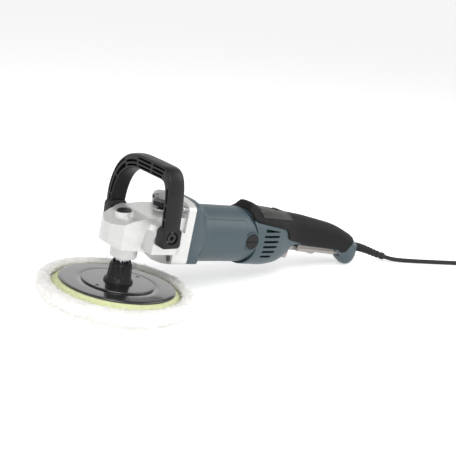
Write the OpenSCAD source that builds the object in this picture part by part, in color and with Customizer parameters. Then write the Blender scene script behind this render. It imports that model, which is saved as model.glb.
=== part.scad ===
// Rotary polisher, 180 mm class, standing at rest on its pad and its tail.
// The modules draw the tool in its own frame: spindle axis on Z, top of the backing plate at z = 0,
// motor and handle along +X. posed() then leans the tool back until pad and tail touch z = 0.

/* [Pad] */
// Radius of the foam disc
foam_r = 90; // [80:1:100]
// Thickness of the foam disc
foam_t = 20; // [16:1:24]
// Radius of the rigid backing plate
plate_r = 79; // [70:1:82]
// Outer radius of the wool bonnet
bonnet_r = 109; // [104:1:112]

/* [Motor] */
// Height of the motor axis over the backing plate
axis_z = 71; // [70:0.5:73]
// Outer radius of the motor housing
motor_r = 40.5; // [40:0.5:42]
// Distance from the spindle axis to the brush axis
brush_x = 184; // [182:1:186]

/* [Gears] */
// Teeth on the pinion
pinion_teeth = 9; // [8:1:10]
// Teeth on the ring gear
ring_teeth = 36; // [32:1:40]

/* [Loop handle] */
// Half of the handle's outer width at its bolts
loop_half_w = 75.5; // [74:0.5:80]
// Height of the top bar over the backing plate
loop_top_z = 170.5; // [160:0.5:180]
// Depth of the handle's bar from front to back
loop_depth = 24; // [22:1:26]

/* [Power cord] */
// Diameter of the cord
cord_d = 7; // [6:0.5:8]

/* [Hidden] */
$fn = 48;
gap = 0.3;
foam_top = -2;
foam_bottom = foam_top - foam_t;
bonnet_bottom = foam_bottom - 6;
rim_r = 14;
bonnet_edge_x = bonnet_r - 15.5;
bonnet_edge_z = bonnet_bottom + rim_r;
tail_x = 434;
tail_z = 43;
tail_r = 16;
// Resting angle: the line that touches the bonnet's round edge and the tail's round foot from below.
contact_dx = tail_x - bonnet_edge_x;
contact_dz = tail_z - bonnet_edge_z;
tilt = atan2(contact_dz, contact_dx) + asin((rim_r - tail_r) / norm([contact_dx, contact_dz]));
lift = rim_r + bonnet_edge_x * sin(tilt) - bonnet_edge_z * cos(tilt);
// Distance that puts the frame's origin under the middle of the tool without its cord.
origin_shift = 198;
flange_x0 = 60;
flange_x1 = 72;
flange_half_w = 45;
flange_top = 52;
flange_screws = [[-35, 40], [35, 40], [-36, -26.5], [36, -26.5]];
// The motor housing ends, and the rear shells begin, on an arc about this point.
arc_x = 110;
arc_z = 65;
arc_r = 85;
loop_x = 18;
loop_front = 6.5;
bolt_z = 83;
loop_lean = 3.4;
loop_bar = 18;
block_bottom = 69;
block_top = 95;
wing_y = 59;
lock_x = 46;
lock_top_z = 107;
dial_x = 252;
dial_z = 97.5;
dial_r = 15.5;
paddle_pivot_x = 404;
paddle_pivot_z = 47.5;
lockoff_pivot_x = 294.5;
lockoff_pivot_z = 54;
plunger_x = 336;
// Rear body sections: x, centre z, half width, height above centre, depth below centre.
REAR = [
    [176, 70.5, 40.0, 40.5, 41.0],
    [200, 70.0, 40.0, 40.5, 42.0],
    [227, 69.0, 38.5, 41.0, 42.0],
    [250, 69.0, 34.5, 39.0, 39.5],
    [262, 69.5, 30.5, 37.0, 36.5],
    [272, 70.5, 27.5, 35.0, 31.5],
    [281, 73.0, 25.0, 32.0, 24.5],
    [291, 76.5, 23.5, 27.5, 20.0],
    [306, 77.5, 22.5, 25.0, 20.5],
    [330, 75.5, 21.8, 23.5, 21.0],
    [355, 72.5, 21.2, 22.5, 21.0],
    [380, 69.0, 20.8, 21.5, 20.5],
    [398, 65.0, 20.8, 20.0, 19.0],
    [410, 60.0, 21.0, 20.5, 22.0],
    [420, 55.0, 21.0, 21.5, 25.0],
    [429, 50.5, 19.6, 21.0, 24.3],
    [436, 50.5, 16.6, 17.5, 20.5],
    [440, 52.6, 13.6, 12.3, 14.5],
    [442.5, 54.8, 11.4, 9.9, 11.0]
];
SQUARE = 2.5;
shell_wall = 2.6;
grip_t = 2.6;
block_t = 3.6;
// Lower edge of the soft grip, in degrees round the section, for the sections from x = 272.
GRIP_EDGE = [0, -8, -14, -20, -36, -38, -38, -38, -36, -12, 22];
// Strain relief and cord, in the standing frame, before origin_shift.
BOOT = [[445.5, 0, 26.6], [455, -0.6, 25.2], [465, -3.6, 22.4], [476, -8.6, 18.2],
    [488, -16, 13.1], [500.9, -25, 8.4]];
BOOT_R = [7.6, 7.3, 6.9, 6.5, 6.1, 5.8];
CORD = [[500.9, -25, 8.4], [507, -30, 6.4], [514, -35, 4.8], [527, -43, 3.8], [546, -56, 3.5],
    [565, -67.5, 3.5], [586, -81, 3.5], [608, -94.5, 3.5], [632, -110, 3.5], [656, -122.5, 3.5],
    [684, -131.5, 3.5], [712, -135.5, 3.5]];
cord_sides = 8;
coil_x = 712;
coil_y = -90;
coil_mid_r = 38.5;
coil_half_w = 10.5;
coil_h = 21;
plug_x = 712;
plug_y = -128.5;

// Leans the tool back into its resting pose and moves the origin under its middle.
module posed() {
    translate([-origin_shift, 0, lift]) rotate([0, tilt, 0]) children();
}

// Moves a piece drawn in the standing frame to the origin.
module standing() {
    translate([-origin_shift, 0, 0]) children();
}

module on_motor(x = 0) {
    translate([x, 0, axis_z]) rotate([0, 90, 0]) children();
}

module motor_rod(x0, x1, r) {
    on_motor(x0) cylinder(h = x1 - x0, r = r);
}

module motor_tube(x0, x1, r_in, r_out) {
    difference() {
        motor_rod(x0, x1, r_out);
        motor_rod(x0 - 1, x1 + 1, r_in);
    }
}

module rod_z(z0, z1, r) {
    translate([0, 0, z0]) cylinder(h = z1 - z0, r = r);
}

module rod_z_at(x, z0, z1, r) {
    translate([x, 0, 0]) rod_z(z0, z1, r);
}

module rod_y(x, z, y0, y1, r) {
    translate([x, y0, z]) rotate([-90, 0, 0]) cylinder(h = y1 - y0, r = r);
}

module both_sides() {
    children();
    mirror([0, 1, 0]) children();
}

// Square with round corners, drawn across the motor axis and extruded along it.
// The flange between gear head and motor: flat sides, blunt upper corners, a shallow keel below.
module flange_slab(x0, x1) {
    half = [[0, -41], [22, -38.5], [40, -34], [44, -32], [flange_half_w, -29.5], [flange_half_w, 42],
        [43.3, 45.6], [37, 49.5], [22, flange_top], [0, flange_top + 0.6]];
    far = [for (i = [8 : -1 : 1]) [-half[i][0], half[i][1]]];
    translate([x0, 0, axis_z]) rotate([90, 0, 90]) linear_extrude(x1 - x0) polygon(concat(half, far));
}

module side_profile(points, y0, y1) {
    translate([0, y1, 0]) rotate([90, 0, 0]) linear_extrude(y1 - y0) polygon(points);
}

function arc(cx, cy, r, a0, a1, n) =
    [for (i = [0 : n]) let (a = a0 + (a1 - a0) * i / n) [cx + r * cos(a), cy + r * sin(a)]];

module ball_bearing(r_in, r_out, w) {
    ball_r = (r_out - r_in) * 0.27;
    mid = (r_in + r_out) / 2;
    difference() {
        cylinder(h = w, r = r_out);
        translate([0, 0, -1]) cylinder(h = w + 2, r = r_in);
        for (z = [-1, w - 0.8]) translate([0, 0, z]) difference() {
            cylinder(h = 1.8, r = mid + ball_r);
            cylinder(h = 1.8, r = mid - ball_r);
        }
    }
}

/* ---- gear head ---- */

head_plan = [[-32.5, -9], [-24, -29.5], [8, -37], [62, -41], [62, 41], [8, 37], [-24, 29.5], [-32.5, 9]];
cover_screws_at = [[24, -24], [24, 24], [-20.5, -25.2], [-20.5, 25.2]];
seam_z = 64;

ring_r_in = 21.5;
ring_r_out = 28;
ring_plane_z = 62.6;

module head_outline() {
    side_profile([[-45, seam_z], [-45, 78], [-34, 80.5], [-27, 83.5], [-12, 91.5], [8, 97.5], [39, 101.1],
        [62, 101.5], [62, seam_z]], -42, 42);
}

module handle_wings() {
    both_sides() difference() {
        side_profile([[3, 56], [3, 76], [6, 84], [12, 90], [20, 93], [34, 93], [52, 84], [62, 84],
            [62, 56]], 36, wing_y);
        translate([40, wing_y + 1, 50]) rotate([90, 0, -42]) translate([0, 0, -30]) cube([60, 50, 30]);
    }
}

module gear_housing() {
    color("silver") posed() difference() {
        union() {
            intersection() {
                translate([0, 0, seam_z]) linear_extrude(60) polygon(head_plan);
                head_outline();
            }
            handle_wings();
            on_motor(30) cylinder(h = flange_x0 - 30, r1 = 26, r2 = 31);
            flange_slab(flange_x0, flange_x1);
            intersection() {
                flange_slab(47, flange_x0 + 1);
                translate([40, -50, 20]) cube([30, 100, 62]);
            }
            translate([lock_x, 0, 90]) cylinder(h = 12.5, r = 10);
            translate([-8.5, 0, 85]) rotate([0, -9, 0]) cylinder(h = 12.5, r = 12.5);
        }
        rod_z(seam_z - 1, 80, 29.2);
        rod_z(79, 90, 8);
        motor_rod(18, 53, 12);
        motor_rod(52, 62, 16);
        motor_rod(61.9, 73, 37.5);
        translate([-30, -60, 20]) cube([72, 120, seam_z - 20 - 8]);
        translate([-50, -36, 50]) cube([85, 72, seam_z - 50]);
        translate([-8.5, 0, 85]) rotate([0, -9, 0]) translate([0, 0, 10]) cylinder(h = 4, r = 10);
        translate([lock_x, 0, 80]) cylinder(h = 30, r = 3.05);
        translate([lock_x, 0, 96]) cylinder(h = 10, r = 5.6);
        both_sides() rod_y(loop_x, bolt_z, 40, wing_y + 1, 3.4);
        for (p = flange_screws) on_motor(flange_x0 - 5) translate([-p[1], p[0], 0]) cylinder(h = 20, r = 2.6);
        for (p = flange_screws) on_motor(46) translate([-p[1], p[0], 0]) cylinder(h = flange_x0 - 46, r = 5.2);
        for (p = cover_screws_at) translate([p[0], p[1], seam_z - 1]) cylinder(h = 12, r = 2.1);
    }
}

module gear_cover() {
    color("gainsboro") posed() difference() {
        union() {
            intersection() {
                translate([0, 0, 52]) linear_extrude(seam_z - 52) polygon([[-32.5, -9], [-24, -29.5],
                    [8, -35.8], [34.5, -35.8], [34.5, 35.8], [8, 35.8], [-24, 29.5], [-32.5, 9]]);
                side_profile([[-45, seam_z], [-45, 60], [-27, 52], [34.5, 52], [34.5, seam_z]], -42, 42);
            }
            rod_z(36.5, 53, 18.3);
            rod_z(35, 36.6, 17.2);
        }
        rod_z(52.5, seam_z + 1, 29.2);
        motor_rod(18, 40, 12);
        rod_z(40, 53, 16);
        rod_z(30, 41, 11.5);
        for (p = cover_screws_at) translate([p[0], p[1], 50]) {
            cylinder(h = 20, r = 2.4);
            cylinder(h = 6, r = 3.9);
        }
    }
}

module socket_screw(head_r, head_h, r, length) {
    difference() {
        union() {
            translate([0, 0, -head_h]) cylinder(h = head_h, r = head_r);
            cylinder(h = length, r = r);
        }
        translate([0, 0, -head_h - 1]) cylinder(h = head_h * 0.6 + 1, r = head_r * 0.55, $fn = 6);
    }
}

module cover_screws() {
    color("dimgray") posed() for (p = cover_screws_at)
        translate([p[0], p[1], 56]) socket_screw(3.5, 3.6, 2.05, 17);
}

module gear_case_plug() {
    color("dimgray") posed() translate([-8.5, 0, 85]) rotate([0, -9, 0]) {
        translate([0, 0, 10]) cylinder(h = 3.1, r = 9.95);
        translate([0, 0, 13.1]) cylinder(h = 0.8, r = 8.8);
    }
}

module lower_bearing() {
    color("lightgray") posed() translate([0, 0, 42]) ball_bearing(6.03, 16, 10);
}

module upper_bearing() {
    color("lightgray") posed() translate([0, 0, 80]) difference() {
        cylinder(h = 9, r = 8);
        translate([0, 0, -1]) cylinder(h = 11, r = 5.03);
    }
}

module spindle() {
    color("gray") posed() {
        rod_z(79, 89, 5);
        rod_z(66, 79.7, 6);
        rod_z(52.3, 66.1, 8);
        rod_z(41, 53, 6);
        difference() {
            rod_z(30, 41.7, 9.5);
            for (s = [-1, 1]) translate([-10, s * 13 - 5, 29]) cube([20, 10, 8]);
        }
        rod_z(8, 30.1, 7);
    }
}

module ring_gear() {
    color("darkgray") posed() difference() {
        union() {
            rod_z(53, ring_plane_z, ring_r_out);
            rod_z(53, 66, 12);
            for (i = [0 : ring_teeth - 1]) rotate([0, 0, (i + 0.5) * 360 / ring_teeth])
                translate([ring_r_in, 0, ring_plane_z - 0.4]) rotate([90, 0, 90])
                    linear_extrude(ring_r_out - ring_r_in - 0.3)
                        polygon([[-0.85, 0], [0.85, 0], [0.4, 2.3], [-0.4, 2.3]]);
        }
        rod_z(52, 67, 8);
    }
}

module pinion() {
    color("darkgray") posed() difference() {
        union() {
            motor_rod(17.5, 29, 5.4);
            for (i = [0 : pinion_teeth - 1]) on_motor(21.8)
                rotate([0, 0, i * 360 / pinion_teeth]) linear_extrude(6.4)
                    polygon([[5, -1], [7.5, -0.42], [7.5, 0.42], [5, 1]]);
            motor_rod(28.9, 37, 8.5);
        }
        motor_rod(17, 38, 3.5);
    }
}

/* ---- motor ---- */

module armature_shaft() {
    color("gray") posed() {
        motor_rod(17.5, 38, 3.5);
        difference() {
            motor_rod(37.5, 51, 7.5);
            for (i = [0 : 2]) on_motor(lock_x) rotate([0, 0, i * 120 + 180])
                translate([4.6, -3.4, -3.4]) cube([5, 6.8, 6.8]);
        }
        motor_rod(50.9, 62.4, 6);
        motor_rod(62.3, 202, 6.5);
        motor_rod(201.9, 210.5, 4);
    }
}

module armature_core() {
    color("peru") posed() difference() {
        union() {
            motor_rod(98, 158, 24.6);
            motor_rod(88, 98.1, 19);
            motor_rod(157.9, 167, 19);
        }
        motor_rod(87, 168, 6.5);
        for (i = [0 : 11]) on_motor(98) rotate([0, 0, i * 30]) translate([23.8, -0.8, -1]) cube([3, 1.6, 62]);
    }
}

module commutator() {
    color("goldenrod") posed() difference() {
        motor_rod(172, 196, 13);
        motor_rod(171, 197, 6.5);
        for (i = [0 : 23]) on_motor(171) rotate([0, 0, i * 15]) translate([12.2, -0.25, 0]) cube([2, 0.5, 26]);
    }
}

module cooling_fan() {
    color("darkslategray") posed() difference() {
        union() {
            motor_tube(65, 67.5, 6.5, 34);
            motor_tube(65, 78, 6.5, 11);
            for (i = [0 : 10]) on_motor(67) rotate([0, 0, i * 360 / 11]) translate([15, -0.9, 0])
                rotate([0, 0, 18]) cube([18, 1.8, 8]);
        }
        motor_rod(64, 79, 6.5);
    }
}

module front_bearing() {
    color("lightgray") posed() on_motor(52) ball_bearing(6.03, 16, 10);
}

module rear_bearing() {
    color("lightgray") posed() on_motor(203) ball_bearing(4.03, 11, 7);
}

module bearing_cup() {
    color("black") posed() difference() {
        union() {
            motor_rod(203, 212.5, 14);
            translate([203, -30, axis_z - 4]) cube([9.5, 60, 8]);
        }
        motor_rod(202, 210, 11);
        motor_rod(209, 211, 5);
    }
}

module stator_core() {
    color("slategray") posed() difference() {
        motor_rod(98, 158, 36.8);
        motor_rod(97, 159, 25.6);
    }
}

module field_coils() {
    color("chocolate") posed() for (x = [87.5, 158.2]) motor_tube(x, x + 10.3, 26, 35);
}

module air_baffle() {
    color("black") posed() motor_tube(80, 84.5, 22, 37.1);
}

module brush_holders() {
    color("goldenrod") posed() both_sides() difference() {
        translate([brush_x - 6, 14, axis_z - 7.5]) cube([12, 22, 15]);
        translate([brush_x - 4.1, 13, axis_z - 5.6]) cube([8.2, 24, 11.2]);
    }
}

module carbon_brushes() {
    color("black") posed() both_sides()
        translate([brush_x - 4, 13.3, axis_z - 5.5]) cube([8, 13, 11]);
}

module brush_springs() {
    color("silver") posed() both_sides() translate([brush_x, 26.7, axis_z]) rotate([-90, 0, 0])
        coil_spring(3.1, 0.5, 9, 5);
}

module brush_caps() {
    color("black") posed() both_sides() difference() {
        union() {
            rod_y(brush_x, axis_z, 37.5, 41.2, 11);
            rod_y(brush_x, axis_z, 36.2, 37.6, 7);
        }
        translate([brush_x - 12, 40, axis_z - 1.2]) cube([24, 3, 2.4]);
    }
}

module motor_housing() {
    color("darkslategray") posed() difference() {
        union() {
            intersection() {
                motor_rod(flange_x1, 200, motor_r);
                rod_y(arc_x, arc_z, -50, 50, arc_r);
            }
            intersection() {
                flange_slab(flange_x1, 104);
                on_motor(flange_x1) cylinder(h = 33, r1 = 66, r2 = 45);
            }
            both_sides() rod_y(brush_x, axis_z, 30, 41, 13.6);
            intersection() {
                motor_rod(100, 172, motor_r + 1);
                translate([90, -50, axis_z - 29]) cube([90, 100, 56]);
            }
        }
        motor_rod(flange_x1 - 1, 205, 37.2);
        both_sides() rod_y(brush_x, axis_z, 30, 42, 11.1);
        for (p = flange_screws) on_motor(flange_x1 - 1) translate([-p[1], p[0], 0]) cylinder(h = 26, r = 2.1);
    }
}

module housing_screws() {
    color("silver") posed() for (p = flange_screws) on_motor(flange_x0)
        translate([-p[1], p[0], 0]) socket_screw(4.6, 5, 2.05, 28);
}

/* ---- rear body ---- */

// Point of the section row at angle t, offset outwards by d. Angles run from 90 at the top to -90.
function section(row, t, d) =
    let (c = cos(t), s = sin(t), e = 2 / SQUARE,
        y = (row[2] + d) * sign(c) * pow(abs(c), e),
        z = (s > 0 ? row[3] + d : row[4] + d) * sign(s) * pow(abs(s), e))
    [row[0], y, row[1] + z];

// Skin over the section rows. Each entry of ends holds the row's first and last angle, and its
// outward offset at the top of the section and at its sides.
module skin(rows, ends, inner, n = 12) {
    ring = 2 * (n + 1);
    pts = [for (k = [0 : len(rows) - 1], j = [0 : ring - 1])
        let (i = j <= n ? j : ring - 1 - j,
            t = ends[k][0] + (ends[k][1] - ends[k][0]) * i / n,
            top = pow(abs(sin(t)), 6),
            out = ends[k][3] + (ends[k][2] - ends[k][3]) * top)
        section(rows[k], t, j <= n ? out : inner)];
    last = (len(rows) - 1) * ring;
    quads = [for (k = [0 : len(rows) - 2], j = [0 : ring - 1])
        [k * ring + (j + 1) % ring, (k + 1) * ring + (j + 1) % ring, (k + 1) * ring + j, k * ring + j]];
    caps = [for (k = [0, last], j = [0 : n - 1])
        k == 0 ? [ring - 1 - j, ring - 2 - j, j + 1, j]
            : [k + j, k + j + 1, k + ring - 2 - j, k + ring - 1 - j]];
    polyhedron(points = pts, faces = concat(quads, caps), convexity = 6);
}

module half_rear_shell() {
    skin(REAR, [for (row = REAR) [90, -90, 0, 0]], -shell_wall);
}

// Body of one rear shell on the +Y side.
module rear_shell_side() {
    difference() {
        union() {
            half_rear_shell();
            for (x = [300, 385]) translate([x - 4, 10, 65]) cube([8, 8.7, 8]);
        }
        rod_y(arc_x, arc_z, -50, 50, arc_r + gap);
        rod_y(brush_x, axis_z, 20, 50, 13.6 + gap);
        for (i = [0 : 5]) translate([207, 20, 85.5 - i * 7.7]) rotate([0, 2, 0]) cube([31, 30, 3.6]);
        translate([286, -1, 35]) cube([123, 11.2, 31]);
        translate([302, -1, 35]) cube([87.5, 17.2, 28.5]);
        translate([279, -1, 35]) cube([8, 6.2, 31]);
        for (x = [300, 385]) rod_y(x, 69, 5, 17.2, 1.65);
        translate([dial_x - 17, -1, 92]) cube([34, 6, 30]);
        rod_y(paddle_pivot_x, paddle_pivot_z, 5, 14, 2.05);
    }
}

module rear_shell_left() {
    color("slategray") posed() rear_shell_side();
}

module rear_shell_right() {
    color("slategray") posed() mirror([0, 1, 0]) rear_shell_side();
}

function rows_between(x0, x1) = [for (row = REAR) if (row[0] > x0 && row[0] < x1) row];

function row_at(x) =
    let (k = max([for (i = [0 : len(REAR) - 2]) REAR[i][0] <= x ? i : 0]),
        f = (x - REAR[k][0]) / (REAR[k + 1][0] - REAR[k][0]))
    REAR[k] + (REAR[k + 1] - REAR[k]) * f;

module soft_grip_side() {
    wedge = [row_at(188), row_at(193), row_at(200), row_at(206.5)];
    skin(wedge, [[90, 37, 8.5, 1], [90, 37, 10.6, 1.6], [90, 37, 7.5, grip_t], [90, 37, 5, grip_t]], 0.1);
    strip = concat([row_at(206)], rows_between(206, 272), [row_at(272)]);
    skin(strip, [for (row = strip) [47.5, 34, grip_t, grip_t]], 0.1, 4);
    back = rows_between(271, 435);
    skin(back, [for (k = [0 : len(back) - 1]) [90, GRIP_EDGE[k], grip_t, grip_t]], 0.1);
}

module soft_grip_left() {
    color("dimgray") posed() soft_grip_side();
}

module soft_grip_right() {
    color("dimgray") posed() mirror([0, 1, 0]) soft_grip_side();
}

module shell_screws() {
    color("silver") posed() for (x = [300, 385]) rod_y(x, 69, -17, 17, 1.6);
}

module dial_cover() {
    rows = concat([row_at(206.8)], rows_between(207, 271), [row_at(271.5)]);
    color("gray") posed() difference() {
        skin(rows, [for (row = rows) [132, 48, block_t, block_t - 0.4]], 0.1, 14);
        translate([dial_x - 16.2, -4, 95]) cube([32.4, 8, 25]);
    }
}

module speed_dial() {
    color("black") posed() difference() {
        rod_y(dial_x, dial_z, -3.5, 3.5, dial_r);
        rod_y(dial_x, dial_z, -4, 4, 2.05);
        for (i = [0 : 19]) translate([dial_x, 0, dial_z]) rotate([0, i * 18, 0])
            translate([dial_r - 0.7, -4, -0.6]) cube([2, 8, 1.2]);
    }
}

module speed_module() {
    color("seagreen") posed() {
        rod_y(dial_x, dial_z, -9, 9, 2);
        both_sides() translate([dial_x - 14, 6, 76]) cube([28, 2, 26]);
        translate([dial_x - 14, -8, 74.5]) cube([28, 16, 1.6]);
    }
}

/* ---- switch and trigger ---- */

module trigger_switch() {
    color("black") posed() difference() {
        translate([308, -8, 65]) cube([48, 16, 22]);
        rod_z_at(plunger_x, 64, 76, 3.05);
    }
}

module switch_plunger() {
    color("firebrick") posed() rod_z_at(plunger_x, 55.7, 69, 3);
}

module paddle_trigger() {
    color("darkgray") posed() difference() {
        union() {
            side_profile([[290, 50.5], [290, 58], [300, 56.5], [330, 55.4], [342, 55.4], [392, 52],
                [400, 52.5], [408, 51], [408.5, 44.5], [396, 44.5], [343, 48.5], [337, 46], [330, 46.2],
                [320, 48.6]], -8.6, 8.6);
            side_profile([[304, 49.9], [304, 54.8], [330, 54], [386, 50.8], [386, 45.4], [343, 48.7],
                [337, 46.2], [330, 46.4], [320, 48.8]], -15, 15);
        }
        rod_y(paddle_pivot_x, paddle_pivot_z, -9, 9, 2.05);
        translate([289, -4.3, 44]) cube([10, 8.6, 20]);
        rod_y(lockoff_pivot_x, lockoff_pivot_z, -9, 9, 1.55);
    }
}

module trigger_pin() {
    color("silver") posed() rod_y(paddle_pivot_x, paddle_pivot_z, -13.5, 13.5, 2);
}

module lock_off_lever() {
    color("rosybrown") posed() difference() {
        side_profile([[292, 56.5], [297.3, 56.5], [297.3, 51], [295, 47], [293, 37.5], [290.5, 35.5],
            [286.5, 36], [283.5, 41], [281.5, 46.5], [284, 48.5], [290.5, 49.5]], -4, 4);
        rod_y(lockoff_pivot_x, lockoff_pivot_z, -5, 5, 1.55);
    }
}

module lock_off_pin() {
    color("silver") posed() rod_y(lockoff_pivot_x, lockoff_pivot_z, -9.4, 9.4, 1.5);
}

/* ---- cord ---- */

module cord_clamp() {
    color("black") posed() {
        translate([417.5, -11, 50]) cube([9, 22, 4]);
        translate([417.5, -11, 62.2]) cube([9, 22, 3.5]);
    }
}

function unit(v) = v / norm(v);
function path_dir(p, i) = unit(p[min(i + 1, len(p) - 1)] - p[max(i - 1, 0)]);

// One closed tube through the points, with a radius for each point.
module tube(points, radii, sides) {
    n = len(points);
    pts = [for (i = [0 : n - 1]) let (d = path_dir(points, i), u = unit(cross([0, 0, 1], d)),
        w = cross(d, u)) for (k = [0 : sides - 1])
        points[i] + radii[i] * (cos(k * 360 / sides) * u + sin(k * 360 / sides) * w)];
    walls = [for (i = [0 : n - 2], k = [0 : sides - 1])
        [i * sides + k, (i + 1) * sides + k, (i + 1) * sides + (k + 1) % sides,
            i * sides + (k + 1) % sides]];
    polyhedron(points = pts, faces = concat([[for (k = [0 : sides - 1]) k]], walls,
        [[for (k = [sides - 1 : -1 : 0]) (n - 1) * sides + k]]), convexity = 4);
}

module coil_spring(r, wire_r, height, turns) {
    n = turns * 12;
    path = [for (i = [0 : n]) [r * cos(i * 30), r * sin(i * 30), wire_r + (height - 2 * wire_r) * i / n]];
    tube(path, [for (q = path) wire_r], 6);
}

module strain_relief() {
    color("black") standing() tube(BOOT, BOOT_R, 12);
    color("black") posed() motor_offset_rod(430, 442.7, 7);
}

// Points between the route's own points, on a smooth curve through them.
function smooth(p, i, f) =
    let (a = p[max(i - 1, 0)], b = p[i], c = p[i + 1], d = p[min(i + 2, len(p) - 1)])
    0.5 * (2 * b + (c - a) * f + (2 * a - 5 * b + 4 * c - d) * f * f
        + (3 * b - a - 3 * c + d) * f * f * f);

module power_cord() {
    fine = concat([for (i = [0 : len(CORD) - 2], f = [0, 0.5]) smooth(CORD, i, f)], [CORD[len(CORD) - 1]]);
    color("black") standing() tube(fine, [for (q = fine) cord_d / 2], cord_sides);
}

// Rod along the tool's length at the height of the cord entry.
module motor_offset_rod(x0, x1, r) {
    translate([x0, 0, 54.8]) rotate([0, 90, 0]) cylinder(h = x1 - x0, r = r);
}

module cord_coil() {
    color("black") standing() translate([coil_x, coil_y, 0]) rotate_extrude()
        translate([coil_mid_r - coil_half_w, 0]) square([2 * coil_half_w, coil_h]);
}

module cord_tie() {
    color("black") standing() translate([coil_x + coil_mid_r, coil_y - 5, 0]) difference() {
        translate([-coil_half_w - 1, 0, 0]) cube([2 * coil_half_w + 2, 10, coil_h + 1]);
        translate([-coil_half_w + 0.4, -1, 1.2]) cube([2 * coil_half_w - 0.8, 12, coil_h - 1.6]);
    }
}

module plug_body() {
    color("black") standing() translate([plug_x, plug_y, coil_h]) difference() {
        translate([-22, 0, 17]) rotate([0, 90, 0]) cylinder(h = 38, r1 = 10, r2 = 18.5);
        translate([-30, -30, -10]) cube([60, 60, 10]);
    }
}

module plug_pins() {
    color("silver") standing() for (s = [-1, 1])
        translate([plug_x + 16, plug_y + s * 9.5, coil_h + 17]) rotate([0, 90, 0]) cylinder(h = 19, r = 2.4);
}

/* ---- loop handle ---- */

// Outline of the loop across the tool, set in by d from its outer face, open at the bottom.
function loop_outline(d, bottom) =
    let (near_r = 18 - d, far_r = 65 - d)
    concat([[-loop_half_w + d, bottom]], arc(-53.5, loop_top_z - 18, near_r, 180, 90, 6),
        arc(12, loop_top_z - 65, far_r, 90, 0, 12), [[loop_half_w + 0.5 - d, bottom]]);

module loop_plate(d, bottom, x0, x1) {
    translate([x0, 0, 0]) rotate([90, 0, 90]) linear_extrude(x1 - x0) polygon(loop_outline(d, bottom));
}

// The space inside the loop, with a tight corner on one side and a wide sweep on the other.
module loop_window(bottom, x0, x1) {
    top = loop_top_z - loop_bar;
    translate([x0, 0, 0]) rotate([90, 0, 90]) linear_extrude(x1 - x0)
        polygon(concat([[-64.4, bottom]], arc(-50.5, top - 12.5, 12.5, 180, 90, 6),
            arc(11, top - 52, 52, 90, 0, 12), [[65, bottom]]));
}

module loop_channel(d0, d1, bottom) {
    difference() {
        loop_plate(d0, bottom, loop_front - 1, loop_front + 10);
        loop_plate(d1, bottom - 1, loop_front - 2, loop_front + 11);
        for (y = [-40, -14, 12]) translate([loop_front - 2, y - 1.2, 140]) cube([14, 2.4, 40]);
        for (z = [112, 132]) translate([loop_front - 2, -90, z - 1.2]) cube([14, 180, 2.4]);
    }
}

module loop_handle() {
    color("black") posed() translate([loop_x, 0, bolt_z]) rotate([0, -loop_lean, 0])
        translate([-loop_x, 0, -bolt_z]) difference() {
            union() {
                difference() {
                    loop_plate(0, block_bottom + 14, loop_front, loop_front + loop_depth);
                    loop_window(block_bottom, loop_front - 1, loop_front + loop_depth + 1);
                }
                both_sides() translate([loop_x - 14, wing_y + 0.2, block_bottom])
                    cube([28, loop_half_w - wing_y + 0.8, block_top - block_bottom]);
            }
            loop_channel(3, 6.8, 100);
            both_sides() rod_y(loop_x, bolt_z, wing_y - 1, 90, 4.1);
            both_sides() rod_y(loop_x, bolt_z, loop_half_w - 8, 90, 8.6);
        }
}

module handle_bolts() {
    color("dimgray") posed() both_sides() translate([loop_x, loop_half_w - 6.4, bolt_z])
        rotate([90, 0, 0]) socket_screw(6, 6, 3.35, 26);
}

module handle_washers() {
    color("silver") posed() both_sides() difference() {
        rod_y(loop_x, bolt_z, loop_half_w - 8, loop_half_w - 6.4, 8.2);
        rod_y(loop_x, bolt_z, loop_half_w - 9, loop_half_w - 5, 3.45);
    }
}

/* ---- spindle lock ---- */

module lock_button() {
    color("black") posed() translate([lock_x, 0, 0]) {
        rod_z(lock_top_z, lock_top_z + 6, 12);
        rod_z(lock_top_z - 5, lock_top_z + 0.1, 4.4);
        rod_z(80, lock_top_z - 4.9, 3);
    }
}

module lock_spring() {
    color("silver") posed() translate([lock_x, 0, 96.5]) coil_spring(5, 0.35, 6.5, 4);
}

/* ---- pad ---- */

module pad_hub() {
    color("black") posed() difference() {
        union() {
            translate([0, 0, 3]) cylinder(h = 23, r1 = 16.2, r2 = 14.6);
            rod_z(-0.1, 5, 19.8);
            rod_z(26, 29.5, 12.4);
        }
        rod_z(-1, 30, 7);
        for (i = [0 : 7]) rotate([0, 0, i * 45 + 22.5]) translate([17.5, 0, 6]) cylinder(h = 21, r = 3.2);
        for (i = [0 : 3]) rotate([0, 0, i * 45]) translate([-15, -2, 27.5]) cube([30, 4, 4]);
    }
}

module backing_plate() {
    color("black") posed() {
        rod_z(-2.5, -0.1, 48);
        difference() {
            rod_z(-4, -1.3, plate_r);
            for (s = [-1, 1]) translate([s * 42, 0, -3]) cylinder(h = 5, r = 2.5);
        }
    }
}

module foam_disc() {
    color("khaki") posed() difference() {
        union() {
            rod_z(foam_bottom, -5, foam_r);
            translate([0, 0, -5]) cylinder(h = 3, r1 = foam_r, r2 = foam_r - 3);
        }
        rod_z(-4.1, 0, plate_r + 0.2);
    }
}

module wool_bonnet() {
    rim_in = foam_r + 2;
    color("white") posed() rotate_extrude($fn = 72) difference() {
        union() {
            translate([bonnet_edge_x, bonnet_edge_z]) circle(r = rim_r);
            translate([bonnet_r - 8.7, -6.7]) circle(r = 8.7);
            translate([0, bonnet_bottom]) square([bonnet_edge_x, 12]);
        }
        translate([-1, foam_bottom - gap]) square([rim_in + 1, 60]);
        translate([-40, -60]) square([40, 80]);
    }
}

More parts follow.
